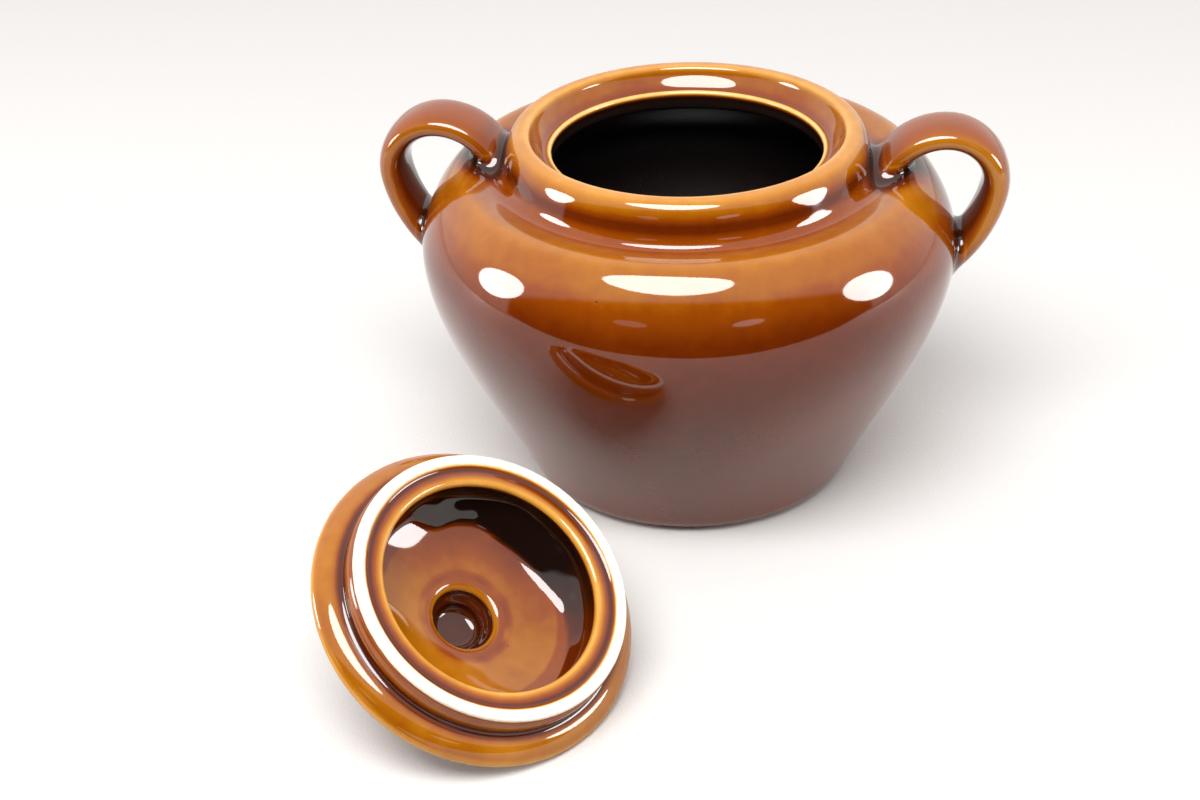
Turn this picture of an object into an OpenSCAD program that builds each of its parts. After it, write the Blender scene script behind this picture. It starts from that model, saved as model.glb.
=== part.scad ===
// Stoneware bean pot: a glazed body with two luted ear handles, and a loose lid with a hollow knob.
// Millimetres, +Z up. The origin is the middle of the foot, on the surface that the pot stands on.
// The lid lies upside down in front of the pot, leaning on its knob and on the edge of its flange.

/* [Pot wall] */
// Radius of the flat foot that the pot stands on
foot_r = 54.6; // [50:0.2:58]
// Radius where the rounded heel meets the side
heel_r = 66; // [63:0.2:69]
// Height of the rounded heel
heel_h = 8.6; // [6:0.2:12]
// Radius of the belly at its widest
belly_r = 102.4; // [96:0.2:110]
// Height of the widest part of the belly
belly_h = 97; // [88:0.5:104]
// Thickness of the side wall
wall_t = 6.5; // [5:0.1:8]
// Thickness of the floor of the pot
floor_t = 8; // [6:0.2:11]

/* [Neck and rim] */
// Overall height of the pot without its lid
pot_h = 141.8; // [138:0.2:150]
// Radius of the shoulder where it turns up into the neck
shoulder_r = 84.8; // [82:0.2:87]
// Drop from the top of the rim to that turn
shoulder_drop = 14.4; // [13:0.2:16]
// Radius of the neck above its hollow
neck_r = 70; // [68.6:0.2:71]
// Drop from the top of the rim to the top of the neck's hollow
neck_drop = 11.8; // [10.6:0.2:12.4]
// Radius of the top of the rim
crown_r = 63; // [62:0.1:64.5]
// Radius of the middle of the slope inside the rim
slope_r = 58.8; // [58:0.1:60]
// Drop from the top of the rim to the middle of that slope
slope_drop = 2.2; // [2:0.1:3]
// Steepness of that slope, in degrees
slope_lean = 60; // [50:1:66]
// Radius of the groove round the opening
groove_r = 54; // [53.6:0.1:55]
// Drop from the top of the rim to the bottom of the groove
groove_drop = 8.2; // [7.6:0.1:9]
// Radius of the opening
mouth_r = 51.3; // [49:0.1:53]
// Drop from the top of the rim to the narrow lip round the opening
lip_drop = 7.4; // [6.5:0.1:8]
// Height of the straight land inside the opening
land_h = 5.2; // [4:0.1:7]

/* [Handles] */
// Direction of the right handle, in degrees
right_handle_az = -3; // [-12:1:12]
// Direction of the left handle, in degrees
left_handle_az = 171; // [160:1:192]
// Width of the strap
strap_w = 24; // [18:0.5:28]
// Thickness of the strap
strap_t = 10.5; // [8:0.25:12]
// Reach of the right strap's centre line from the pot's axis
right_reach = 116; // [108:0.2:120]
// Reach of the left strap's centre line from the pot's axis
left_reach = 114.8; // [108:0.2:120]
// Drop of the strap's highest centre line below the top of the rim
handle_drop = 1; // [0:0.2:6]
// Radius of the bend from the neck to the top of the handle
root_bend_r = 24.5; // [20:0.5:34]
// Radius of the bend over the top of the handle
top_bend_r = 19.1; // [16:0.1:22]
// Radius of the long bend down to the belly
fall_bend_r = 50; // [44:0.5:60]

/* [Lid] */
// Gap between the lid's ring and the opening, all round
ring_gap = 1.3; // [0.8:0.1:2]
// Radius of the lid's flange
flange_r = 58.2; // [56.5:0.1:60]
// Thickness of the flange at its rounded edge
flange_t = 5.6; // [5:0.1:7]
// Height of the middle of that edge above the lid's own level
flange_lift = 1; // [0:0.1:2]
// Drop of the flange's underside at the ring
flange_drop = 4.9; // [4.4:0.1:5.4]
// Depth of the ring below the lid's own level
ring_drop = 16.4; // [14:0.2:18]
// Width of the bare clay face of the ring
bare_w = 3.4; // [3:0.1:4.5]
// Radius of the inner lip of the lid
lid_lip_r = 38.2; // [35:0.1:39]
// Thickness of the lid's dome
dome_t = 6; // [5:0.1:7]
// Height of the lid's inside above the lid's own level
dome_rise = 10.5; // [8:0.2:12]
// Radius of the round hollow of the dome
dome_bend_r = 85; // [75:1:110]
// Radius of the hole into the knob
knob_hole_r = 11; // [9.5:0.1:11.5]
// Radius of the neck of the knob
knob_neck_r = 14.5; // [14:0.1:15.5]
// Radius of the knob
knob_r = 19; // [17.5:0.2:21]
// Radius of the knob's rounded edge
knob_edge_r = 6; // [5:0.1:6.5]
// Height of the centre of the knob's edge above the lid's own level
knob_h = 28.3; // [27:0.1:32]
// Depth of the hollow in the knob above the lid's inside
knob_hollow = 11.8; // [10:0.2:13]

/* [Lid on the table] */
// Place of the middle of the lid, to the right of the pot's axis
lid_x = -73.4; // [-90:0.2:-60]
// Place of the middle of the lid, behind the pot's axis
lid_y = -157.3; // [-175:0.2:-150]
// Direction that the lid's hollow side faces, in degrees
lid_face_az = -41.6; // [-70:0.2:-10]

/* [Hidden] */
$fn = 96;
GLAZE = "saddlebrown";

// A point and the direction on the cubic curve that starts at a, ends at d and leans to b and c
function curve_at(a, b, c, d, t) =
    pow(1 - t, 3) * a + 3 * t * pow(1 - t, 2) * b + 3 * t * t * (1 - t) * c + pow(t, 3) * d;
function slope_at(a, b, c, d, t) =
    pow(1 - t, 2) * (b - a) + 2 * t * (1 - t) * (c - b) + t * t * (d - c);
// The curve in n steps, moved to its left by side
function curve(a, b, c, d, n, first = 0, side = 0) = [for (i = [first:n])
    let (s = slope_at(a, b, c, d, i / n), u = s / norm(s))
    curve_at(a, b, c, d, i / n) + side * [-u[1], u[0]]];
// An elliptic arc round m with half axes rx and rz, from angle p to angle q in n steps
function arc(m, rx, rz, p, q, n, first = 0) = [for (i = [first:n])
    let (w = p + (q - p) * i / n) m + [rx * cos(w), rz * sin(w)]];
function backwards(line) = [for (i = [len(line) - 1:-1:0]) line[i]];

// Places on the pot's section, as radius and height
foot = [foot_r, 0];
heel = [heel_r, heel_h];
belly = [belly_r, belly_h];
turn_up = [shoulder_r, pot_h - shoulder_drop];
neck = [neck_r, pot_h - neck_drop];
crown = [crown_r, pot_h];
slope = [slope_r, pot_h - slope_drop];
groove = [groove_r, pot_h - groove_drop];
lip = [mouth_r, pot_h - lip_drop];
lip_round = 1.2;
land_top = [mouth_r, lip[1] - lip_round];
land_foot = [mouth_r, land_top[1] - land_h];
floor_edge = [foot_r - 2, floor_t];

// Which way the section runs at those places, in degrees
function way(angle) = [cos(angle), sin(angle)];
turn_up_way = way(175);
neck_way = way(107);
slope_way = way(180 + slope_lean);

// How far each curve of the section leans on its way
heel_lean = [7, 2.5];
heel_rise = [3, 7];
side_lean = [13, 28];
belly_lean = [0, 26];
shoulder_lift = [0, 11.6];
shoulder_reach = 7.7;
hollow_reach = 7;
neck_reach = 8;
crown_rise = 5.5;
crown_out = 4.2;
crown_in = 2.6;
slope_reach = 2.6;
slope_foot = 2;
groove_reach = 0.9;
lip_reach = 0.5;
roof_start = [12, -9.8];
roof_end = [3.2, -3.6];
floor_lean = [4, 0];
roof_at = 10;

function side_wall(inset) =
    curve(heel, heel + side_lean, belly - belly_lean, belly, 16, 0, inset);
function shoulder(inset) =
    curve(belly, belly + shoulder_lift, turn_up - shoulder_reach * turn_up_way, turn_up, 16, 1, inset);

outside = concat(
    curve(foot, foot + heel_lean, heel - heel_rise, heel, 6),
    side_wall(0),
    shoulder(0),
    curve(turn_up, turn_up + hollow_reach * turn_up_way, neck - neck_reach * neck_way, neck, 10, 1),
    curve(neck, neck + crown_rise * neck_way, crown + [crown_out, 0], crown, 9, 1));
over_rim = concat(
    curve(crown, crown - [crown_in, 0], slope - slope_reach * slope_way, slope, 9, 1),
    curve(slope, slope + slope_foot * slope_way, groove + [groove_reach, 0], groove, 6, 1),
    curve(groove, groove - [groove_reach, 0], lip + [lip_round + lip_reach, 0], lip + [lip_round, 0], 4, 1),
    arc(land_top + [lip_round, 0], lip_round, lip_round, 90, 180, 5, 1));
inside = concat(
    [land_foot],
    curve(land_foot, land_foot + roof_start, shoulder(wall_t)[roof_at] - roof_end,
        shoulder(wall_t)[roof_at], 8, 1),
    backwards([for (i = [0:roof_at - 1]) shoulder(wall_t)[i]]),
    backwards([for (i = [1:16]) side_wall(wall_t)[i]]),
    curve(side_wall(wall_t)[1], side_wall(wall_t)[0], floor_edge + floor_lean, floor_edge, 6, 1));

// The pot as if it were solid right through
module filled_pot() {
    rotate_extrude()
        polygon(concat([[0, 0]], outside, [[0, pot_h]]));
}

module pot_body() {
    color(GLAZE)
        rotate_extrude()
            polygon(concat([[0, 0]], outside, over_rim, inside, [[0, floor_t]]));
}

// The handle's centre line is three bends in a row: up from the neck, over the top and down
root_turn = 52;
top_turn = 101;
fall_turn = 44;
root_stub = 11;
strap_flare = 4;
strap_sides = 16;
strap_square = 0.86;
handle_top = pot_h - handle_drop;
fall_from = 90 - top_turn;
root_from = 90 + root_turn;

// Each station is a place on the centre line and the angle that the strap's outside faces
function bend(m, r, from, to, n) = [for (i = [0:n])
    let (w = from + (to - from) * i / n) [m[0] + r * cos(w), m[1] + r * sin(w), w]];
function stations(reach) =
    let (out = reach - top_bend_r,
        root_mid = [out, handle_top - root_bend_r],
        top_mid = [out, handle_top - top_bend_r],
        fall_mid = top_mid + (top_bend_r - fall_bend_r) * way(fall_from),
        root_start = root_mid + root_bend_r * way(root_from) - root_stub * way(root_from - 90))
    concat(
        [[root_start[0], root_start[1], root_from]],
        bend(root_mid, root_bend_r, root_from, 92, 6),
        bend(top_mid, top_bend_r, 88, fall_from + 4, 11),
        bend(fall_mid, fall_bend_r, fall_from, fall_from - fall_turn, 7));

// The strap is an oval with flattened faces, and it widens towards both ends
function rounded(v) = sign(v) * pow(abs(v), strap_square);
function strap_ring(s, share) = [for (j = [0:strap_sides - 1])
    let (w = 360 * j / strap_sides, out = strap_t / 2 * rounded(cos(w)),
        half = strap_w / 2 + strap_flare / 2 * pow(abs(2 * share - 1), 6))
    [s[0] + out * cos(s[2]), half * rounded(sin(w)), s[1] + out * sin(s[2])]];

module strap(line) {
    n = strap_sides;
    last = len(line) - 1;
    polyhedron(
        [for (i = [0:last]) each strap_ring(line[i], i / last)],
        concat(
            [[for (j = [n - 1:-1:0]) j]],
            [for (i = [0:last - 1], j = [0:n - 1], k = [0:1])
                let (p = i * n + j, q = i * n + (j + 1) % n)
                k == 0 ? [p + n, p, q] : [q + n, p + n, q]],
            [[for (j = [0:n - 1]) last * n + j]]));
}

module handle(az, reach) {
    color(GLAZE) difference() {
        rotate(az) strap(stations(reach));
        filled_pot();
    }
}

module left_handle() {
    handle(left_handle_az, left_reach);
}

module right_handle() {
    handle(right_handle_az, right_reach);
}

// Places on the lid's section, with the knob up and height counted from the lid's own level
edge_r = flange_t / 2;
flange_edge = [flange_r - edge_r, flange_lift];
under_from = -52;
ring_r = mouth_r - ring_gap;
ring_z = -ring_drop;
ring_corner = 1.3;
quirk = 0.9;
ring_side = ring_r - quirk;
bare_in = ring_side - bare_w;
channel_end = [bare_in - 0.5, ring_z + 0.4];
swell = [ring_r - 0.7, ring_z + 9];
swell_foot = [ring_side, ring_z + 3];
flange_root = [ring_r + 0.8, -flange_drop];
dome_foot = [ring_r - 4.5, dome_rise - 4.8];
knob_edge = [knob_r - knob_edge_r, knob_h];
knob_foot = [knob_neck_r + 3.4, dome_rise + dome_t + 0.2];
knob_waist = [knob_neck_r, knob_h - knob_edge_r - 1.6];
knob_top = [0, knob_h + knob_edge_r + 1.6];
hole_edge = [knob_hole_r + 3.2, dome_rise];
hole_neck = [knob_hole_r, dome_rise + 3];
hollow_top = dome_rise + knob_hollow;
hollow_side = [knob_hole_r - 2.4, hollow_top - 3.6];
hollow_end_r = 4.6;
lip_crest = [lid_lip_r + 2.4, ring_z + 1.1];
lip_side = [lid_lip_r, ring_z + 3.4];
wall_mid = [lid_lip_r + 2.4, -4];
bowl_edge_r = lid_lip_r - 8.2;

// The dome's inside is part of a ball, so its height and steepness follow from the ball's radius
function ball_drop(r) = dome_bend_r - sqrt(dome_bend_r * dome_bend_r - r * r);
ball_top = dome_rise + ball_drop(hole_edge[0]);
function on_ball(r) = [r, ball_top - ball_drop(r)];
bowl_edge = on_ball(bowl_edge_r);
bowl_way = way(-asin(bowl_edge_r / dome_bend_r));

lid_top = concat(
    arc(flange_edge, edge_r, edge_r, 0, 90, 8),
    curve(flange_edge + [0, edge_r], flange_edge + [-5, edge_r], dome_foot + [2.4, -1.6],
        dome_foot, 6, 1),
    curve(dome_foot, dome_foot + [-3.5, 4.6], knob_foot + [9.1, -0.6], knob_foot, 12, 1),
    curve(knob_foot, knob_foot - [3.2, -0.4], knob_waist, knob_edge + knob_edge_r * way(-80), 8, 1),
    arc(knob_edge, knob_edge_r, knob_edge_r, -80, 80, 12, 1),
    curve(knob_edge + knob_edge_r * way(80), knob_edge + [-4, knob_edge_r + 0.9],
        knob_top + [5, 0], knob_top, 6, 1));
lid_hollow = concat(
    [[0, hollow_top]],
    curve([hollow_end_r, hollow_top], [hollow_end_r + 2.6, hollow_top], hollow_side + [0.6, 2],
        hollow_side, 6),
    curve(hollow_side, hollow_side - [0.8, 2.4], hole_neck + [0, 2.6], hole_neck, 4, 1),
    curve(hole_neck, hole_neck - [0, 1.8], hole_edge - [1.5, 0], hole_edge, 5, 1),
    [for (i = [1:8]) on_ball(hole_edge[0] + (bowl_edge_r - hole_edge[0]) * i / 8)],
    curve(bowl_edge, bowl_edge + 5.4 * bowl_way, wall_mid + [-0.1, 5.5], wall_mid, 10, 1),
    curve(wall_mid, wall_mid - [-0.2, 4.6], lip_side + [0, 2.6], lip_side, 6, 1),
    curve(lip_side, lip_side - [0, 1.6], lip_crest - [1.4, 0], lip_crest, 5, 1));
lid_ring = concat(
    curve(lip_crest, lip_crest + [2, 0], channel_end + [-1.6, 1.8], channel_end, 6, 1),
    [[bare_in, ring_z]],
    arc([ring_side - ring_corner, ring_z + ring_corner], ring_corner, ring_corner, -90, 0, 5),
    curve(swell_foot, swell_foot + [0.9, 1], swell + [0.8, -1.5], swell, 6, 1),
    curve(swell, swell + [-0.2, 1.5], flange_root - [1.3, 0.4], flange_root, 5, 1),
    curve(flange_root, flange_root + [2, 0.9], flange_edge + edge_r * way(under_from) - [2, 1.6],
        flange_edge + edge_r * way(under_from), 5, 1),
    arc(flange_edge, edge_r, edge_r, under_from, 0, 7, 1));

// The lid leans until the knob's edge and the flange's edge both touch the table
lean_line = flange_edge - knob_edge;
lid_lean = atan2(-lean_line[1], lean_line[0]) - asin((edge_r - knob_edge_r) / norm(lean_line));
lid_z = flange_edge[0] * sin(lid_lean) + flange_edge[1] * cos(lid_lean) + edge_r;

module lid() {
    color(GLAZE)
        translate([lid_x, lid_y, lid_z])
            rotate(lid_face_az)
                rotate([0, 180 + lid_lean, 0])
                    rotate_extrude()
                        polygon(concat(lid_top, lid_hollow, lid_ring));
}

pot_body();
left_handle();
right_handle();
lid();
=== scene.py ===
# Stoneware bean pot: a glazed pot with two strap handles, and its loose lid lying upside down
# in front of it. Metres, +Z up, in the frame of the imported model.
import math

import bmesh
import bpy
import numpy as np
from mathutils import Matrix, Quaternion, Vector


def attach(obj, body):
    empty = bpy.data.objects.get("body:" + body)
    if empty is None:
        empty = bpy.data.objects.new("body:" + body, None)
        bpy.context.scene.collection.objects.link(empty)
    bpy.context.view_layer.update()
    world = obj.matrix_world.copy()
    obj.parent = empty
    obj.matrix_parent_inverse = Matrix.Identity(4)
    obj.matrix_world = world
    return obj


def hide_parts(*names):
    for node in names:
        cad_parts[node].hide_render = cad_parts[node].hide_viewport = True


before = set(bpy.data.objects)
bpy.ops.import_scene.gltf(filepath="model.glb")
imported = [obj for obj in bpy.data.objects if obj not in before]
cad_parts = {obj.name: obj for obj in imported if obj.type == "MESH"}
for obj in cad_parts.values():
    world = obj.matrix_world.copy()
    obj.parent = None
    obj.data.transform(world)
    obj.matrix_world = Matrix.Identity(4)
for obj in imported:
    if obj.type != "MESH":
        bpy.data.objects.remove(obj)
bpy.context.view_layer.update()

# ---------------------------------------------------------------- camera
# A long lens from the front, a little over thirty degrees above the table. Its place and its
# angles were fitted to the round edges of the pot and of the lid.
MM = 0.001
camera_place = Vector((0, -762.24, 477.53)) * MM
look_down = math.radians(30.7915)
look_left = math.radians(2.7277)
tilt = math.radians(-2.0636)

ahead = Vector((-math.sin(look_left) * math.cos(look_down),
                math.cos(look_left) * math.cos(look_down), -math.sin(look_down)))
level = ahead.cross(Vector((0, 0, 1))).normalized()
upward = level.cross(ahead)
camera_right = math.cos(tilt) * level + math.sin(tilt) * upward
camera_up = -math.sin(tilt) * level + math.cos(tilt) * upward
camera = bpy.data.objects.new("camera", bpy.data.cameras.new("camera"))
bpy.context.scene.collection.objects.link(camera)
camera_turn = Matrix((camera_right, camera_up, -ahead)).transposed().to_4x4()
camera.matrix_world = Matrix.Translation(camera_place) @ camera_turn
camera.data.lens = 66
camera.data.sensor_width = 36
camera.data.clip_start = 0.05
bpy.context.scene.camera = camera
bpy.context.scene.view_settings.view_transform = "Standard"

# ---------------------------------------------------------------- table and studio
# A white table with a faint leather grain, three soft boxes and two dim strips, a pale ceiling
# and side walls, and the darker end of the room behind the camera.
table_side, table_front, table_back = 1.6, -0.47, 2.4
table_mesh = bpy.data.meshes.new("table")
table_mesh.from_pydata([(-table_side, table_front, 0), (table_side, table_front, 0),
                        (table_side, table_back, 0), (-table_side, table_back, 0)],
                       [], [(0, 1, 2, 3)])
table = bpy.data.objects.new("table", table_mesh)
bpy.context.scene.collection.objects.link(table)


def feed(socket, value):
    """Gives a socket a constant, or the output of another node."""
    if isinstance(value, bpy.types.NodeSocket):
        links.new(value, socket)
    else:
        socket.default_value = value


def work(kind, a, b=None, c=None, clamp=False):
    """One step of arithmetic in the node tree that is being built."""
    step = nodes.new("ShaderNodeMath")
    step.operation = kind
    step.use_clamp = clamp
    for socket, value in zip(step.inputs, (a, b, c)):
        if value is not None:
            feed(socket, value)
    return step.outputs[0]


def fade(value, start, end, low=0.0, high=1.0, kind="SMOOTHSTEP"):
    """Goes from low to high while the value goes from start to end."""
    made = nodes.new("ShaderNodeMapRange")
    made.interpolation_type = kind
    for socket, given_to in (("From Min", start), ("From Max", end), ("To Min", low),
                             ("To Max", high), ("Value", value)):
        feed(made.inputs[socket], given_to)
    return made.outputs[0]


def mix(factor, a, b, kind="MIX"):
    """A mix of two colours in the node tree that is being built."""
    made = nodes.new("ShaderNodeMix")
    made.data_type = "RGBA"
    made.blend_type = kind
    for socket, given_to in (("Factor", factor), ("A", a), ("B", b)):
        feed(made.inputs[socket], given_to)
    return made.outputs["Result"]


table_skin = bpy.data.materials.new("table_skin")
table_skin.use_nodes = True
nodes, links = table_skin.node_tree.nodes, table_skin.node_tree.links
skin = nodes["Principled BSDF"]
skin.inputs["Roughness"].default_value = 0.65
skin.inputs["Specular IOR Level"].default_value = 0.2
place = nodes.new("ShaderNodeTexCoord")
grain = nodes.new("ShaderNodeTexVoronoi")
grain.feature = "DISTANCE_TO_EDGE"
grain.inputs["Scale"].default_value = 620
links.new(place.outputs["Object"], grain.inputs["Vector"])
grain_bump = nodes.new("ShaderNodeBump")
grain_bump.inputs["Strength"].default_value = 0.22
grain_bump.inputs["Distance"].default_value = 0.0006
links.new(grain.outputs["Distance"], grain_bump.inputs["Height"])
links.new(grain_bump.outputs["Normal"], skin.inputs["Normal"])

# painted shade: the table that the glaze mirrors is darker in front, where it lies in shade, than
# behind
looked_at = nodes.new("ShaderNodeLightPath")
along = nodes.new("ShaderNodeSeparateXYZ")
links.new(place.outputs["Object"], along.inputs[0])
mirrored_tone_shaded_front = mix(fade(along.outputs["Y"], -0.12, 0.02, kind="LINEAR"),
                    (0.44, 0.42, 0.40, 1), (0.72, 0.71, 0.70, 1))
links.new(mix(looked_at.outputs["Is Camera Ray"], mirrored_tone_shaded_front, (0.66, 0.653, 0.642, 1)),
          skin.inputs["Base Color"])
table_mesh.materials.append(table_skin)


def soft_box(name, aim, azimuth, elevation, distance, wide, high, radiance, roll=0):
    """A soft box seen from aim in the given direction; azimuth 0 is the front and 90 the right."""
    a, e = math.radians(azimuth), math.radians(elevation)
    away = Vector((math.sin(a) * math.cos(e), -math.cos(a) * math.cos(e), math.sin(e)))
    lamp = bpy.data.lights.new(name, "AREA")
    lamp.shape = "ELLIPSE"
    lamp.size = wide
    lamp.size_y = high
    lamp.energy = radiance * math.pi * wide * high * math.pi / 4
    lamp.color = (1.0, 0.992, 0.985)
    box = bpy.data.objects.new(name, lamp)
    bpy.context.scene.collection.objects.link(box)
    box.location = Vector(aim) * MM + away * distance
    box.rotation_mode = "QUATERNION"
    box.rotation_quaternion = (away.to_track_quat("Z", "Y")
                               @ Quaternion((0, 0, 1), math.radians(roll)))


soft_box("box_over_camera", (-8, -91, 123), -13, 58, 1.30, 1.12, 0.70, 12.0)
soft_box("box_left", (-67, -71, 114), -86, 11, 1.20, 0.54, 0.34, 12.0, 30)
soft_box("box_right", (64, -75, 113), 80, 10, 1.20, 0.62, 0.36, 12.0, -30)
soft_box("strip_left", (0, -100, 110), -25, 16, 2.5, 0.62, 0.20, 0.7)
soft_box("strip_right", (0, -100, 110), 25, 16, 2.5, 0.62, 0.20, 1.3)

# The room that the glaze mirrors: pale overhead, behind and at the sides, and dark in front up to
# some 36 degrees above the table. What the camera sees past the table is plain white.
world = bpy.data.worlds.new("room")
bpy.context.scene.world = world
world.use_nodes = True
nodes, links = world.node_tree.nodes, world.node_tree.links
nodes.clear()
sky = nodes.new("ShaderNodeTexCoord")
split = nodes.new("ShaderNodeSeparateXYZ")
links.new(sky.outputs["Generated"], split.inputs[0])
to_back, to_top = split.outputs["Y"], split.outputs["Z"]
ceiling = fade(work("ADD", work("MULTIPLY", to_back, 0.73), to_top), -0.05, 0.05)
walls = work("MULTIPLY", fade(to_back, -0.22, -0.18), fade(to_top, -0.20, -0.05))
room_tone = mix(work("MAXIMUM", walls, ceiling),
                (0.012, 0.008, 0.005, 1), (0.76, 0.74, 0.73, 1))
brighter_behind = nodes.new("ShaderNodeVectorMath")
brighter_behind.operation = "SCALE"
links.new(room_tone, brighter_behind.inputs[0])
links.new(fade(to_back, 0.1, 0.5, 1.0, 1.35, "LINEAR"), brighter_behind.inputs["Scale"])
ray = nodes.new("ShaderNodeLightPath")
seen_through = work("MAXIMUM", ray.outputs["Is Camera Ray"], ray.outputs["Is Transmission Ray"])
glow = nodes.new("ShaderNodeBackground")
links.new(mix(seen_through, brighter_behind.outputs[0], (0.985, 0.98, 0.97, 1)),
          glow.inputs["Color"])
sky_out = nodes.new("ShaderNodeOutputWorld")
links.new(glow.outputs[0], sky_out.inputs["Surface"])

# ---------------------------------------------------------------- pot body
# Stoneware with a flat bare foot, a round belly, a short neck and a thick rolled rim, cast as one
# piece and dipped in amber glaze. The section below is radius and height in millimetres.


def bend(a, b, c, d, n, first=1):
    """The cubic curve from a to d that leans to b and c, in n steps."""
    t = (np.arange(first, n + 1) / n)[:, None]
    a, b, c, d = (np.asarray(p, float) for p in (a, b, c, d))
    return (1 - t) ** 3 * a + 3 * t * (1 - t) ** 2 * b + 3 * t * t * (1 - t) * c + t ** 3 * d


def round_off(middle, radius, p, q, n, first=1):
    """The arc round middle from angle p to angle q, in n steps."""
    w = np.radians(p + (q - p) * np.arange(first, n + 1) / n)[:, None]
    return np.asarray(middle, float) + radius * np.hstack([np.cos(w), np.sin(w)])


def toward(angle, far=1.0):
    """A step so far in the direction of an angle in degrees."""
    return far * np.array((math.cos(math.radians(angle)), math.sin(math.radians(angle))))


def inset(line, by):
    """The line moved to its left, which is into the clay."""
    run = np.gradient(line, axis=0)
    run /= np.linalg.norm(run, axis=1)[:, None]
    return line + by * np.column_stack([-run[:, 1], run[:, 0]])


def evened(line, step, most_turn=7):
    """The same line with points at an even step, closer where it bends."""
    line = np.asarray(line, float)
    line = line[np.r_[True, np.linalg.norm(np.diff(line, axis=0), axis=1) > 1e-6]]
    run = np.diff(line, axis=0)
    long = np.r_[0, np.cumsum(np.linalg.norm(run, axis=1))]
    heading = np.unwrap(np.arctan2(run[:, 1], run[:, 0]))
    turned = np.r_[0, np.cumsum(np.abs(np.diff(heading)))]
    effort = long / step + np.r_[turned, turned[-1]] / math.radians(most_turn)
    count = int(math.ceil(effort[-1]))
    at = np.interp(np.linspace(0, effort[-1], count + 1), effort, long)
    return np.column_stack([np.interp(at, long, line[:, 0]), np.interp(at, long, line[:, 1])])


def glaze_of(line, reach, edges, hollows):
    """How deep the glaze lies along a section: under 0 where it runs thin over an edge, over 0
    where it gathers in a hollow. Sharp bends count for more than gentle ones."""
    long = np.r_[0, np.cumsum(np.linalg.norm(np.diff(line, axis=0), axis=1))]
    run = np.gradient(line, axis=0)
    curl = np.gradient(np.unwrap(np.arctan2(run[:, 1], run[:, 0])), long)
    share = np.exp(-0.5 * ((long[:, None] - long[None, :]) / reach) ** 2) * np.gradient(long)
    curl = (share * curl).sum(1) / share.sum(1)
    thin = np.tanh((np.maximum(curl, 0) * edges) ** 1.8)
    return np.tanh((np.maximum(-curl, 0) * hollows) ** 1.4) - thin


RIM_TOP = 141.8
wall_thick, floor_high = 6.5, 8
heel, belly = np.array((66.0, 8.6)), np.array((102.4, 97.0))
turn_up, neck = np.array((84.8, 127.4)), np.array((70.0, 130.0))
crown, slope = np.array((63.0, RIM_TOP)), np.array((58.8, 139.6))
side = bend(heel, heel + (13, 28), belly - (0, 26), belly, 96, 0)
shoulder = bend(belly, belly + (0, 11.6), turn_up - toward(175, 7.7), turn_up, 96, 0)
outside = np.vstack([
    [[54.6, 0]],
    bend((54.6, 0), (61.6, 2.5), (63.0, 1.6), heel, 30),
    side[1:], shoulder[1:],
    bend(turn_up, turn_up + toward(175, 7), neck - toward(107, 8), neck, 40),
    bend(neck, neck + toward(107, 5.5), crown + (4.2, 0), crown, 40)])
wall, roof = inset(side, wall_thick), inset(shoulder, wall_thick)[:67]
pot_line = np.vstack([
    outside,
    # over the rim, down its slope and round the lip to the straight land of the opening
    bend(crown, crown - (2.6, 0), slope - toward(250, 2.6), slope, 30),
    bend(slope, slope + toward(250, 2), (54.9, 133.6), (54.0, 133.6), 24),
    bend((54.0, 133.6), (53.1, 133.6), (53.0, 134.4), (52.5, 134.4), 10),
    round_off((52.5, 133.2), 1.2, 90, 180, 12),
    # under the shoulder and down the wall to the floor
    bend((51.3, 128.0), (63.3, 118.2), roof[-1] - (3.2, -3.6), roof[-1], 30, 0),
    roof[-2::-1], wall[-2:5:-1],
    bend(wall[6], wall[0], (56.6, floor_high), (52.6, floor_high), 12)])


def face_outwards(mesh):
    """Turns all faces of a closed shell so that they point out of it."""
    shell = bmesh.new()
    shell.from_mesh(mesh)
    bmesh.ops.recalc_face_normals(shell, faces=shell.faces)
    if shell.calc_volume(signed=True) < 0:
        bmesh.ops.reverse_faces(shell, faces=shell.faces)
    shell.to_mesh(mesh)
    shell.free()


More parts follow.
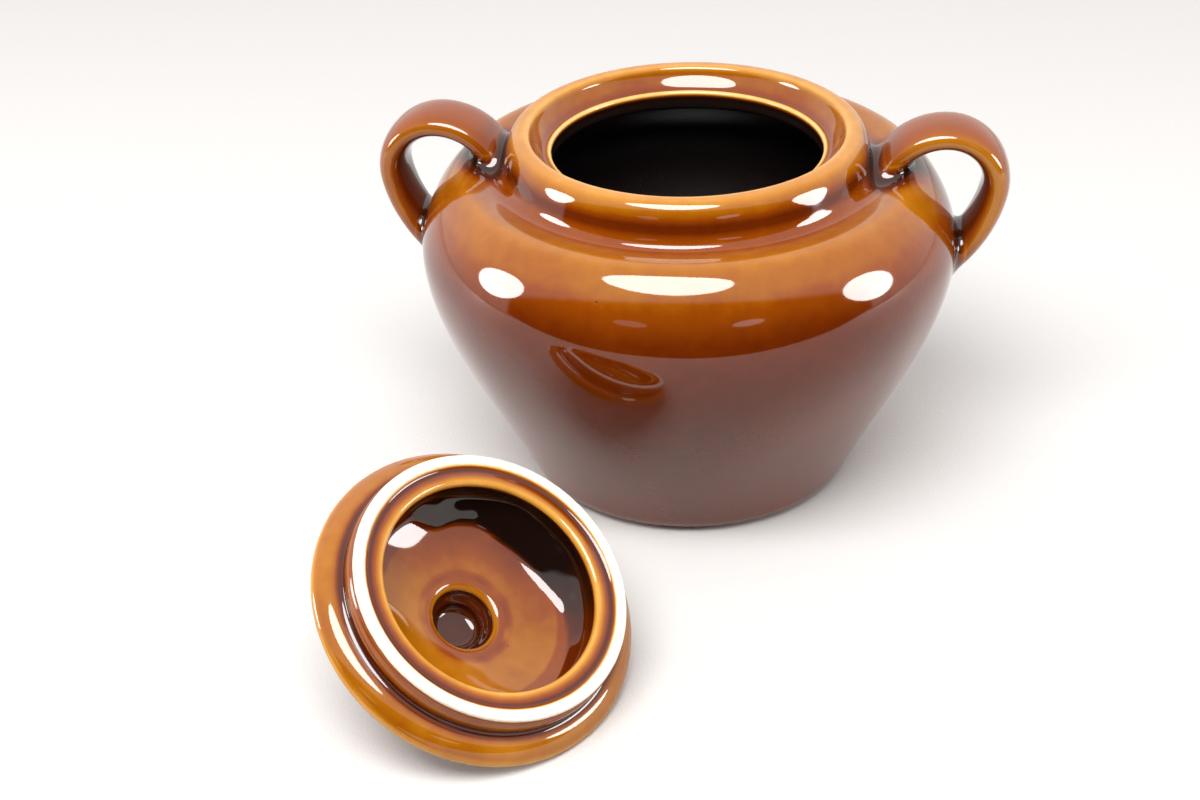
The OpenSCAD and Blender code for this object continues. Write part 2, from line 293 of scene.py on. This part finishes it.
def turned_shape(name, line, depth, bare, around):
    """A section turned about the Z axis with Geometry Nodes, as one plain mesh in millimetres."""
    drawn = bpy.data.meshes.new(name + "_section")
    radius = 50.0  # of the wheel that carries the section, taken off the section's own radii
    drawn.from_pydata([(r - radius, -z, 0) for r, z in line],
                      [(i, i + 1) for i in range(len(line) - 1)], [])
    for key, values in (("glaze_depth", depth), ("bare_clay", bare)):
        drawn.attributes.new(key, "FLOAT", "POINT").data.foreach_set(
            "value", np.asarray(values, np.float32))
    section = bpy.data.objects.new(name + "_section", drawn)
    bpy.context.scene.collection.objects.link(section)
    tree = bpy.data.node_groups.get("turn_on_wheel")
    if tree is None:
        tree = bpy.data.node_groups.new("turn_on_wheel", "GeometryNodeTree")
        for label, way, kind in (("Section", "INPUT", "Geometry"), ("Steps around", "INPUT", "Int"),
                                 ("Radius of zero", "INPUT", "Float"),
                                 ("Glaze", "INPUT", "Material"), ("Shape", "OUTPUT", "Geometry")):
            tree.interface.new_socket(label, in_out=way, socket_type="NodeSocket" + kind)
        add = tree.nodes.new
        taken, given = add("NodeGroupInput"), add("NodeGroupOutput")
        wheel = add("GeometryNodeCurvePrimitiveCircle")
        as_curve = add("GeometryNodeMeshToCurve")
        sweep = add("GeometryNodeCurveToMesh")
        weld = add("GeometryNodeMergeByDistance")
        weld.inputs["Distance"].default_value = 0.004
        smooth = add("GeometryNodeSetShadeSmooth")
        real = add("GeometryNodeRealizeInstances")
        coat = add("GeometryNodeSetMaterial")
        for start, out, end, into in ((taken, "Section", as_curve, "Mesh"),
                                      (taken, "Steps around", wheel, "Resolution"),
                                      (taken, "Radius of zero", wheel, "Radius"),
                                      (wheel, "Curve", sweep, "Curve"),
                                      (as_curve, "Curve", sweep, "Profile Curve"),
                                      (sweep, "Mesh", weld, "Geometry"),
                                      (weld, "Geometry", smooth, "Geometry"),
                                      (smooth, "Geometry", real, "Geometry"),
                                      (real, "Geometry", coat, "Geometry"),
                                      (taken, "Glaze", coat, "Material"),
                                      (coat, "Geometry", given, "Shape")):
            tree.links.new(start.outputs[out], end.inputs[into])
    turning = section.modifiers.new("turning", "NODES")
    turning.node_group = tree
    wanted = {"Steps around": around, "Radius of zero": radius}
    for item in tree.interface.items_tree:
        if item.in_out == "INPUT" and item.name in wanted:
            turning[item.identifier] = wanted[item.name]
    bpy.context.view_layer.update()
    evaluated = section.evaluated_get(bpy.context.evaluated_depsgraph_get())
    mesh = bpy.data.meshes.new_from_object(evaluated)
    bpy.data.objects.remove(section)
    face_outwards(mesh)
    mesh.name = name
    return mesh


def points_of(mesh):
    flat = np.empty(len(mesh.vertices) * 3, np.float32)
    mesh.vertices.foreach_get("co", flat)
    return flat.reshape(-1, 3).astype(float)


def set_points(mesh, points):
    mesh.vertices.foreach_set("co", np.asarray(points, np.float32).ravel())
    mesh.update()


def read_mark(mesh, key):
    values = np.empty(len(mesh.vertices), np.float32)
    mesh.attributes[key].data.foreach_get("value", values)
    return values.astype(float)


def write_mark(mesh, key, values):
    mark = mesh.attributes.get(key) or mesh.attributes.new(key, "FLOAT", "POINT")
    mark.data.foreach_set("value", np.asarray(values, np.float32))
    mesh.update()


# The glaze is made darker low on the side, and more of it gathers in the neck's crease.
pot_section = evened(np.vstack([[[0, 0]], pot_line, [[0, floor_high]]]), 2.2)
pot_r, pot_z = pot_section[:, 0], pot_section[:, 1]
low_side = np.clip((120 - pot_z) / 17, 0, 1)
neck_crease = np.exp(-((pot_z - 133.0) / 2.8) ** 2) * (pot_r > 64)
pot_depth = glaze_of(pot_section, 1.6, 2.4, 1.3) - 0.12 + 0.46 * low_side + 0.55 * neck_crease
past_crown = np.arange(len(pot_section)) >= pot_z.argmax()
# painted shade: inside the pot the glaze is made nearly black and dull, for the shade within it
inside_shade = past_crown * np.clip((133.4 - pot_z) / 3.0, 0, 1) * (pot_z > floor_high - 0.1)
inside_shade_depth = 2.4
pot_depth = pot_depth * (1 - inside_shade) + inside_shade_depth * inside_shade
pot_bare = np.clip(0.9 - pot_z, -2, 2)
pot_mesh = turned_shape("pot_glaze", pot_section, pot_depth, pot_bare, 270)
pot_points = points_of(pot_mesh)

# The glaze: one recipe for the pot, the handles and the lid. It breaks to honey where it is thin,
# and goes plum dark where it is deep. Bare clay shows where none was put.
glaze_group = bpy.data.node_groups.new("glaze_over_clay", "ShaderNodeTree")
recipe_face = glaze_group.interface
for label, start in (("Depth", 0.0), ("Bare", -2.0), ("Cloud", 0.12), ("Cloud scale", 26.0),
                     ("Specks", 0.5)):
    recipe_face.new_socket(label, in_out="INPUT",
                           socket_type="NodeSocketFloat").default_value = start
recipe_face.new_socket("Place", in_out="INPUT", socket_type="NodeSocketVector")
recipe_face.new_socket("Colour", in_out="OUTPUT", socket_type="NodeSocketColor")
recipe_face.new_socket("Roughness", in_out="OUTPUT", socket_type="NodeSocketFloat")
recipe_face.new_socket("Height", in_out="OUTPUT", socket_type="NodeSocketFloat")
nodes, links = glaze_group.nodes, glaze_group.links
taken, given = nodes.new("NodeGroupInput"), nodes.new("NodeGroupOutput")


def mottle(scale, detail=2.0, rough=0.5):
    """Uneven from place to place, around one half."""
    noise = nodes.new("ShaderNodeTexNoise")
    for socket, value in (("Scale", scale), ("Detail", detail), ("Roughness", rough),
                          ("Vector", taken.outputs["Place"])):
        feed(noise.inputs[socket], value)
    return noise.outputs["Fac"]


def ramp(value, stops):
    """Goes through the colours of the stops as the value rises."""
    made = nodes.new("ShaderNodeValToRGB")
    band = made.color_ramp.elements
    while len(band) > 1:
        band.remove(band[-1])
    band[0].position, band[0].color = stops[0][0], (*stops[0][1], 1)
    for at, colour in stops[1:]:
        band.new(at).color = (*colour, 1)
    links.new(value, made.inputs["Fac"])
    return made.outputs["Color"]


def uneven(noise, share):
    """Noise about nought, so strong."""
    return work("MULTIPLY", work("SUBTRACT", noise, 0.5), share)


drift = uneven(mottle(taken.outputs["Cloud scale"], 3.0), taken.outputs["Cloud"])
small_drift = uneven(mottle(180.0), work("MULTIPLY", taken.outputs["Cloud"], 0.5))
depth = work("ADD", work("ADD", taken.outputs["Depth"], drift), small_drift)
glaze_tone = ramp(work("MULTIPLY_ADD", depth, 0.4, 0.5, clamp=True), (
    (0.10, (0.90, 0.62, 0.26)),
    (0.20, (0.72, 0.38, 0.070)),
    (0.32, (0.48, 0.185, 0.011)),
    (0.42, (0.34, 0.108, 0.0025)),
    (0.50, (0.235, 0.046, 0.0010)),
    (0.62, (0.125, 0.0170, 0.0006)),
    (0.70, (0.078, 0.0105, 0.0008)),
    (0.80, (0.034, 0.0070, 0.0020)),
    (0.94, (0.009, 0.0035, 0.0025))))

# pinholes and dark iron specks, far apart
grit = nodes.new("ShaderNodeTexVoronoi")
grit.inputs["Scale"].default_value = 95.0
links.new(taken.outputs["Place"], grit.inputs["Vector"])
rare = nodes.new("ShaderNodeSeparateColor")
links.new(grit.outputs["Color"], rare.inputs[0])
speck = work("MULTIPLY", work("LESS_THAN", grit.outputs["Distance"], 0.045),
             work("GREATER_THAN", rare.outputs[0], 0.90))
speck = work("MULTIPLY", speck, taken.outputs["Specks"])
specked = mix(speck, glaze_tone, (0.035, 0.010, 0.004, 1))

# bare clay: an uneven edge where the glaze was wiped away, and a pale toasted body
edge = work("ADD", taken.outputs["Bare"], uneven(mottle(210.0, 3.0), 0.6))
bare = fade(edge, -0.12, 0.22)
clay_tone = ramp(mottle(420.0, 4.0, 0.65), (
    (0.30, (0.76, 0.67, 0.54)),
    (0.55, (0.86, 0.80, 0.70)),
    (0.75, (0.92, 0.88, 0.80))))
toasted = mix(fade(edge, 0.0, 1.0, 0.55, 0.0, "LINEAR"), clay_tone, (0.92, 0.72, 0.42, 1),
              "MULTIPLY")
links.new(mix(bare, specked, toasted), given.inputs["Colour"])

# the clay is dull, and so is the inside of the pot, whose glaze is painted dark as shade
inside_dull = work("MULTIPLY", work("SUBTRACT", taken.outputs["Depth"], 1.6), 1.5, clamp=True)
gloss = work("MULTIPLY_ADD", bare, 0.42, work("MULTIPLY_ADD", mottle(60.0), 0.03, 0.035))
links.new(work("MULTIPLY_ADD", inside_dull, 0.22, gloss), given.inputs["Roughness"])
pitted = work("SUBTRACT", mottle(17.0, 1.0), work("MULTIPLY", speck, 0.03))
tooth = work("MULTIPLY", work("MULTIPLY", mottle(900.0), bare), 0.06)
links.new(work("ADD", pitted, tooth), given.inputs["Height"])


def glazed(name, cloud_share, cloud_scale, specks, swell_height):
    """A material of the glaze recipe, reading the marks that a piece's own mesh carries."""
    made = bpy.data.materials.new(name)
    made.use_nodes = True
    tree = made.node_tree
    surface = tree.nodes["Principled BSDF"]
    surface.inputs["IOR"].default_value = 1.7
    recipe = tree.nodes.new("ShaderNodeGroup")
    recipe.node_tree = glaze_group
    recipe.inputs["Cloud"].default_value = cloud_share
    recipe.inputs["Cloud scale"].default_value = cloud_scale
    recipe.inputs["Specks"].default_value = specks
    for mark, socket in (("glaze_depth", "Depth"), ("bare_clay", "Bare")):
        reader = tree.nodes.new("ShaderNodeAttribute")
        reader.attribute_name = mark
        tree.links.new(reader.outputs["Fac"], recipe.inputs[socket])
    where = tree.nodes.new("ShaderNodeTexCoord")
    tree.links.new(where.outputs["Object"], recipe.inputs["Place"])
    lift = tree.nodes.new("ShaderNodeBump")
    lift.inputs["Strength"].default_value = 1.0
    lift.inputs["Distance"].default_value = swell_height
    tree.links.new(recipe.outputs["Colour"], surface.inputs["Base Color"])
    tree.links.new(recipe.outputs["Roughness"], surface.inputs["Roughness"])
    tree.links.new(recipe.outputs["Height"], lift.inputs["Height"])
    tree.links.new(lift.outputs["Normal"], surface.inputs["Normal"])
    return made


def stand(mesh, coat_of_glaze, body, node):
    """Puts a finished mesh of millimetres in the scene in the place of a node."""
    set_points(mesh, points_of(mesh) * MM)
    mesh.materials.clear()
    mesh.materials.append(coat_of_glaze)
    piece = bpy.data.objects.new(mesh.name, mesh)
    bpy.context.scene.collection.objects.link(piece)
    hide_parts(node)
    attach(piece, body)


stand(pot_mesh, glazed("pot_amber_glaze", 0.30, 24.0, 0.7, 0.0006), "pot", "pot_body")

# ---------------------------------------------------------------- strap handles
# Each handle is a flattened strap of clay, pressed on at the neck and at the belly and smoothed
# in with a wet finger, so that the glaze gathers dark where it joins the pot.
STRAP_SIDES, STRAP_WIDE, STRAP_THICK = 48, 24, 10.5
ROOT_BEND, TOP_BEND, FALL_BEND = 24.5, 19.1, 50
ROOT_FACES, FALL_FACES, BASE_FACES = 142, -11, -55
ROOT_FILLET, BASE_FILLET = 6.0, 4.5
STATIONS = 1200
outer_line = np.vstack([outside, [[60, RIM_TOP]]])


def strap_line(reach):
    """The stations along a handle that reaches so far out: places, and the ways they face."""
    out, top = reach - TOP_BEND, RIM_TOP - 1.0
    root_mid, top_mid = np.array((out, top - ROOT_BEND)), np.array((out, top - TOP_BEND))
    fall_mid = top_mid + toward(FALL_FACES, TOP_BEND - FALL_BEND)
    start = root_mid + toward(ROOT_FACES, ROOT_BEND)
    stub = toward(ROOT_FACES + 90, 11)
    places, faces = [start + stub * (1 - k / 8) for k in range(8)], [ROOT_FACES] * 8
    for middle, radius, p, q, n, first in ((root_mid, ROOT_BEND, ROOT_FACES, 90, 20, 0),
                                           (top_mid, TOP_BEND, 90, FALL_FACES, 34, 1),
                                           (fall_mid, FALL_BEND, FALL_FACES, BASE_FACES, 30, 1)):
        places.extend(round_off(middle, radius, p, q, n, first))
        faces.extend(p + (q - p) * np.arange(first, n + 1) / n)
    places, faces = np.array(places), np.array(faces, float)
    # the bends meet without a step in how fast they turn
    order = np.arange(len(faces))
    smooth = np.exp(-0.5 * ((order[:, None] - order) / 2.2) ** 2)
    smooth /= smooth.sum(1)[:, None]
    inner = slice(4, -4)
    faces[inner] = (smooth @ faces)[inner]
    places[inner] = (smooth @ places)[inner]
    return places, np.radians(faces)


def gap_to(line, points):
    """How far each point lies outside the solid whose outer section is line, the way out, and the
    nearest place on the solid."""
    r = np.hypot(points[:, 0], points[:, 1])
    spot = np.column_stack([r, points[:, 2]])
    start = line[:-1]
    step = line[1:] - start
    size = (step ** 2).sum(1)
    t = np.clip(((spot[:, None, :] - start) * step).sum(2) / size, 0, 1)
    near = start + t[:, :, None] * step
    away = spot[:, None, :] - near
    closest = np.linalg.norm(away, axis=2).argmin(1)
    each = np.arange(len(spot))
    out = (np.column_stack([step[closest, 1], -step[closest, 0]])
           / np.sqrt(size[closest])[:, None])
    gap = (away[each, closest] * out).sum(1)
    around = points[:, :2] / np.maximum(r, 1e-6)[:, None]
    foot = near[each, closest]
    return (gap, np.column_stack([around * out[:, :1], out[:, 1]]),
            np.column_stack([around * foot[:, :1], foot[:, 1]]))


def strap_handle(name, az, reach, edge_thin):
    """One handle as a closed shell in millimetres, with fillets onto the pot at both ends, and the
    lines where its two ends meet the pot."""
    places, faces = strap_line(reach)
    order = np.arange(len(places))
    # the strap spreads a little where it was pressed on
    widths = STRAP_WIDE + 4 * np.abs(np.linspace(-1, 1, len(places))) ** 6
    w = np.arange(STRAP_SIDES) * 2 * math.pi / STRAP_SIDES

    def eased(v):
        """Makes the strap's section a little squarer than an ellipse."""
        return np.sign(v) * np.abs(v) ** 0.86

    def strap_point(k, angle):
        """Points of the strap at stations k and angles round its section."""
        x, z = np.interp(k, order, places[:, 0]), np.interp(k, order, places[:, 1])
        f = np.interp(k, order, faces)
        out = STRAP_THICK / 2 * eased(np.cos(angle))
        across = np.interp(k, order, widths) / 2 * eased(np.sin(angle))
        return np.column_stack([x + out * np.cos(f), across, z + out * np.sin(f)])

    fine = np.linspace(0, len(places) - 1, STATIONS)
    gaps = [gap_to(outer_line, strap_point(fine, np.full(STATIONS, angle)))[0] for angle in w]

    def meets_pot(search, back, fillet):
        """Per side of the strap, the stations where it enters the pot and where a fillet starts."""
        enters, starts = [], []
        for gap in gaps:
            at = next((i for i in search if gap[i] < 0.0), search[-1])
            enters.append(fine[at])
            while 0 < at < STATIONS - 1 and gap[at] < fillet * 0.8:
                at += back
            starts.append(fine[at])
        enters, starts = np.array(enters), np.array(starts)
        for _ in range(3):
            enters, starts = (0.5 * v + 0.25 * (np.roll(v, 1) + np.roll(v, -1))
                              for v in (enters, starts))
        return enters, starts

    def fillet_rings(enters, starts, fillet, into):
        """Rings from the strap out onto the pot, the last one's line, and it sunk in the clay."""
        start = strap_point(starts, w)
        along = start - strap_point(starts - into * 0.5, w)
        along /= np.linalg.norm(along, axis=1)[:, None]
        _, normal, on = gap_to(outer_line, strap_point(enters, w))
        outward = on - on.mean(0)
        outward -= (outward * normal).sum(1)[:, None] * normal
        outward /= np.linalg.norm(outward, axis=1)[:, None]
        _, end_normal, end = gap_to(outer_line, on + outward * fillet)
        end = end - end_normal * 0.12  # the last ring lies just under the pot's skin
        lean = np.linalg.norm(end - start, axis=1)[:, None] * 0.42
        lean_a, lean_b = start + along * lean, end - outward * lean
        lean_b += end_normal * np.maximum(0.0, -gap_to(outer_line, lean_b)[0])[:, None]
        rings = [((1 - t) ** 3 * start + 3 * t * (1 - t) ** 2 * lean_a
                  + 3 * t * t * (1 - t) * lean_b + t ** 3 * end, t)
                 for t in np.linspace(0, 1, 13)]
        return rings, end, end - end_normal * 2.5 - outward * 1.0

    middle = STATIONS // 2
    root_in, root_clear = meets_pot(range(middle, -1, -1), 1, ROOT_FILLET)
    base_in, base_clear = meets_pot(range(middle, STATIONS), -1, BASE_FILLET)
    root, root_end, root_sunk = fillet_rings(root_in, root_clear, ROOT_FILLET, -1)
    base, base_end, base_sunk = fillet_rings(base_in, base_clear, BASE_FILLET, 1)

    # glaze thins over the strap's two edges and gathers at its ends; the strap is also made darker
    # on its inner face
    strap_glaze = (0.02 - edge_thin * np.abs(np.sin(w)) ** 5
                   + 0.45 * np.clip(-np.cos(w) * 1.6 - 0.3, 0, 1))

    def fillet_glaze(t, most, at_end):
        pooled = most * math.sin(math.pi * min(1, t * 0.9 + 0.1)) ** 0.7
        return strap_glaze * (1 - t) + pooled * t ** 0.5 + at_end * t

    rings = [(root_sunk, np.full(STRAP_SIDES, 1.0))]
    rings += [(ring, fillet_glaze(t, 0.95, 0.35)) for ring, t in root[::-1]]
    for s in np.linspace(0, 1, 92)[1:-1]:
        nearness = np.exp(-((s / 0.09) ** 2)) + np.exp(-(((1 - s) / 0.07) ** 2))
        rings.append((strap_point(root_clear * (1 - s) + base_clear * s, w),
                      strap_glaze * (1 - 0.35 * nearness) + 0.10 * nearness))
    rings += [(ring, fillet_glaze(t, 0.60, 0.45)) for ring, t in base]
    rings.append((base_sunk, np.full(STRAP_SIDES, 1.0)))
    points = np.vstack([ring for ring, _ in rings] + [root_sunk.mean(0), base_sunk.mean(0)])
    n, last = STRAP_SIDES, len(rings) - 1
    quads = [(i * n + j, i * n + (j + 1) % n, (i + 1) * n + (j + 1) % n, (i + 1) * n + j)
             for i in range(last) for j in range(n)]
    root_cap, base_cap = len(points) - 2, len(points) - 1
    caps = [(root_cap, (j + 1) % n, j) for j in range(n)]
    caps += [(base_cap, last * n + j, last * n + (j + 1) % n) for j in range(n)]
    c, s = math.cos(math.radians(az)), math.sin(math.radians(az))
    spin = np.array([[c, s, 0], [-s, c, 0], [0, 0, 1]])
    mesh = bpy.data.meshes.new(name)
    mesh.from_pydata((points @ spin).tolist(), [], quads + caps)
    write_mark(mesh, "glaze_depth", np.concatenate([marks for _, marks in rings] + [[1, 1]]))
    write_mark(mesh, "bare_clay", np.full(len(points), -2.0))
    face_outwards(mesh)
    mesh.shade_smooth()
    return mesh, root_end @ spin, base_end @ spin


right_mesh, right_root, right_base = strap_handle("right_strap", -3, 116.0, 0.34)
left_mesh, left_root, left_base = strap_handle("left_strap", 171, 114.8, 0.16)

# round each joint the glaze on the pot gathers too
pot_marks = read_mark(pot_mesh, "glaze_depth")
for joint, strength, spread in ((right_root, 0.6, 4.0), (left_root, 0.7, 4.0),
                                (right_base, 0.22, 2.6), (left_base, 0.22, 2.6)):
    close = np.where(np.linalg.norm(pot_points - joint.mean(0), axis=1) < 45)[0]
    far = np.linalg.norm(pot_points[close][:, None, :] - joint[None, :, :], axis=2).min(1)
    pot_marks[close] += strength * np.exp(-(far / spread) ** 2) * (pot_points[close][:, 2] > 20)
write_mark(pot_mesh, "glaze_depth", pot_marks)

strap_finish = glazed("strap_amber_glaze", 0.14, 40.0, 0.5, 0.0004)
stand(right_mesh, strap_finish, "pot", "right_handle")
stand(left_mesh, strap_finish, "pot", "left_handle")

# ---------------------------------------------------------------- lid
# A loose domed lid with a rounded flange, a ring that drops into the mouth, and a hollow knob
# cast in one with it. It lies upside down, on its knob and on the edge of its flange.
DOME_BALL, HOLE_RING, HOLE_RING_Z = 85, 14.2, 10.5
ring_z = -16.4
edge_mid = np.array((55.4, 1.0))
edge_foot = edge_mid + toward(-52, 2.8)
knob_edge = np.array((13.0, 28.3))
lip_crest = np.array((40.6, ring_z + 1.1))


def dome_height(r):
    """How high the inside of the dome is over the flange, at a radius."""
    at_ring = math.sqrt(DOME_BALL ** 2 - HOLE_RING ** 2)
    return HOLE_RING_Z + np.sqrt(DOME_BALL ** 2 - r ** 2) - at_ring


dome_r = np.linspace(HOLE_RING, 36.5, 30)[1:]
dome = np.column_stack([dome_r, dome_height(dome_r)])
lid_line = np.vstack([
    # the hollow of the knob, the ring round its hole, and the dome
    [[0, 22.3], [4.6, 22.3]],
    bend((4.6, 22.3), (7.2, 22.3), (9.2, 20.7), (8.6, 18.7), 14),
    bend((8.6, 18.7), (7.8, 16.3), (11, 16.1), (11, 13.5), 12),
    bend((11, 13.5), (11, 11.7), (12.7, HOLE_RING_Z), (HOLE_RING, HOLE_RING_Z), 12),
    dome,
    # down the bowl's wall, over its lip and the channel, and round the bare ring
    bend(dome[-1], dome[-1] + toward(-25.43, 3), (40.5, -0.3), (40.6, -4), 24),
    bend((40.6, -4), (40.8, -8.6), (38.2, -10.4), (38.2, -13.0), 16),
    bend((38.2, -13.0), (38.2, -14.6), lip_crest - (1.4, 0), lip_crest, 14),
    bend(lip_crest, lip_crest + (2, 0), (43.6, -14.2), (45.2, -16.0), 20),
    [[45.7, ring_z]],
    round_off((47.8, ring_z + 1.3), 1.3, -90, 0, 14, 0),
    bend((49.1, -13.4), (50.0, -12.4), (50.1, -8.9), (49.3, -7.4), 20, 0),
    # the flange, the lid's top and the knob
    bend((49.3, -7.4), (49.1, -5.9), (49.5, -5.3), (50.8, -4.9), 14),
    bend((50.8, -4.9), (53.6, -4.9), edge_foot - (1.1, 1.7), edge_foot, 18),
    round_off(edge_mid, 2.8, -52, 90, 36),
    bend((55.4, 3.8), (50.4, 3.8), (47.9, 4.1), (45.5, 5.7), 16),
    bend((45.5, 5.7), (42, 10.3), (27, 16.1), (17.9, 16.7), 40),
    bend((17.9, 16.7), (14.7, 17.1), (14.5, 20.7), knob_edge + toward(-80, 6), 16),
    round_off(knob_edge, 6, -80, 80, 50),
    bend(knob_edge + toward(80, 6), (9, 35.2), (5, 35.9), (0, 35.9), 14)])
lid_section = evened(lid_line, 1.5)
lid_r, lid_h = lid_section[:, 0], lid_section[:, 1]
at_lip = np.hypot(lid_r - lip_crest[0], lid_h - lip_crest[1]).argmin()
inside_lid = np.arange(len(lid_section)) < at_lip
on_dome = inside_lid & (lid_r > 13) & (lid_r < 33)
knob_hollow_shade = inside_lid & (lid_r < 11.2) & (lid_h > 13)
round_hole = inside_lid * np.exp(-((lid_r - 14.6) / 2.8) ** 4)
on_flange = np.clip((lid_r - 50.5) / 2, 0, 1)
in_channel = np.exp(-((lid_r - 43.6) / 1.2) ** 2) * (lid_h < ring_z + 3)
lid_depth = np.where(on_dome, -0.20, glaze_of(lid_section, 1.1, 2.0, 1.5))
lid_depth += 0.24 * round_hole - 0.14 * on_flange
# painted shade: the knob's hollow is given deep, dark glaze for the shadow inside it
lid_depth = np.where(knob_hollow_shade, 0.6, lid_depth) + 0.35 * in_channel
# the ring's crest was wiped bare, from the channel out and a little way up
lid_bare = np.clip(np.minimum(lid_r - 45.15, ring_z + 1.75 - lid_h), -2, 2)
lid_mesh = turned_shape("lid_glaze", lid_section, lid_depth, lid_bare, 260)


def waves(points, long, seed):
    """A slow random swell between about -1 and 1, with waves so many millimetres long."""
    dice = np.random.default_rng(seed)
    total = np.zeros(len(points))
    for _ in range(9):
        heading = dice.normal(size=3)
        heading *= 2 * math.pi / (long * dice.uniform(0.75, 1.4)) / np.linalg.norm(heading)
        total += np.sin(points @ heading + dice.uniform(0, 2 * math.pi))
    return total / 3


# Inside the lid the glaze has run to one side and set as a thick pool with a wavy shore, which
# fills the corner between the dome and the wall.
at = points_of(lid_mesh)
at_r = np.maximum(np.hypot(at[:, 0], at[:, 1]), 1e-6)
at_angle = np.degrees(np.arctan2(at[:, 1], at[:, 0])) % 360
in_bowl = ((at_r > 15) & (at_r < 41.3) & (at[:, 2] > -13.2)
           & (at[:, 2] < dome_height(np.minimum(at_r, 84)) + 0.4))
round_lid = np.arange(360)
shore = np.interp(round_lid, (0, 8, 15, 30, 42, 60, 80, 100, 115, 130, 145, 160, 180, 359),
                  (39, 34, 31.5, 33.4, 34, 30.8, 30.4, 31.2, 33.6, 35, 36, 37, 39, 39))
blur = np.exp(-0.5 * (np.minimum(round_lid, 360 - round_lid) / 3.0) ** 2)
shore = np.real(np.fft.ifft(np.fft.fft(shore) * np.fft.fft(blur / blur.sum())))
shore = np.interp(at_angle, np.arange(361), np.r_[shore, shore[0]])
pool_lean = np.radians(47 + 3 * waves(at, 24, 5))
pool_way = np.column_stack([at[:, :2] / at_r[:, None] * np.sin(pool_lean)[:, None],
                            np.cos(pool_lean)])
beyond = ((at_r - shore) * np.sin(pool_lean)
          + (at[:, 2] - dome_height(shore)) * np.cos(pool_lean))
shore_soft = 0.22
filled = np.log1p(np.exp(np.clip(beyond / shore_soft, -30, 30))) * shore_soft * in_bowl
filled += 0.05 * in_bowl * np.clip((at_r - 15) / 5, 0, 1) * (1 + waves(at, 15, 7))

# painted shade darkens the bowl's upper side; the pool is dark partly from its thick glaze and
# partly from painted shade at its upper end; the glaze is patchy round the hole
marks = read_mark(lid_mesh, "glaze_depth")
upper_side_shade = np.maximum(0, np.cos(np.radians(at_angle - 52)))
marks += 0.42 * np.clip((at_r - 14) / 15, 0, 1) * upper_side_shade * in_bowl
pool_depth_and_shade = np.interp(at_angle, (5, 20, 95, 130, 170, 330, 360),
                 (0.35, 0.75, 0.75, 0.38, 0.2, 0.2, 0.25))
marks += pool_depth_and_shade * np.clip((at_r - shore) / 1.2 + 0.2, 0, 1) * in_bowl
marks += 0.14 * waves(at, 9, 8) * np.exp(-((at_r - 14.5) / 3) ** 2) * in_bowl
write_mark(lid_mesh, "glaze_depth", marks)

# the lid is turned over, leans on its knob and swings to where it lies
lean, swing = math.radians(180 + 36.4144), math.radians(-41.6)
leant = np.array([[math.cos(lean), 0, math.sin(lean)], [0, 1, 0],
                  [-math.sin(lean), 0, math.cos(lean)]])
swung = np.array([[math.cos(swing), -math.sin(swing), 0], [math.sin(swing), math.cos(swing), 0],
                  [0, 0, 1]])
lid_place = np.array((-73.4, -157.3, 36.4913))
set_points(lid_mesh, (at - filled[:, None] * pool_way) @ (swung @ leant).T + lid_place)
stand(lid_mesh, glazed("lid_amber_glaze", 0.34, 38.0, 0.5, 0.0006), "lid", "lid")
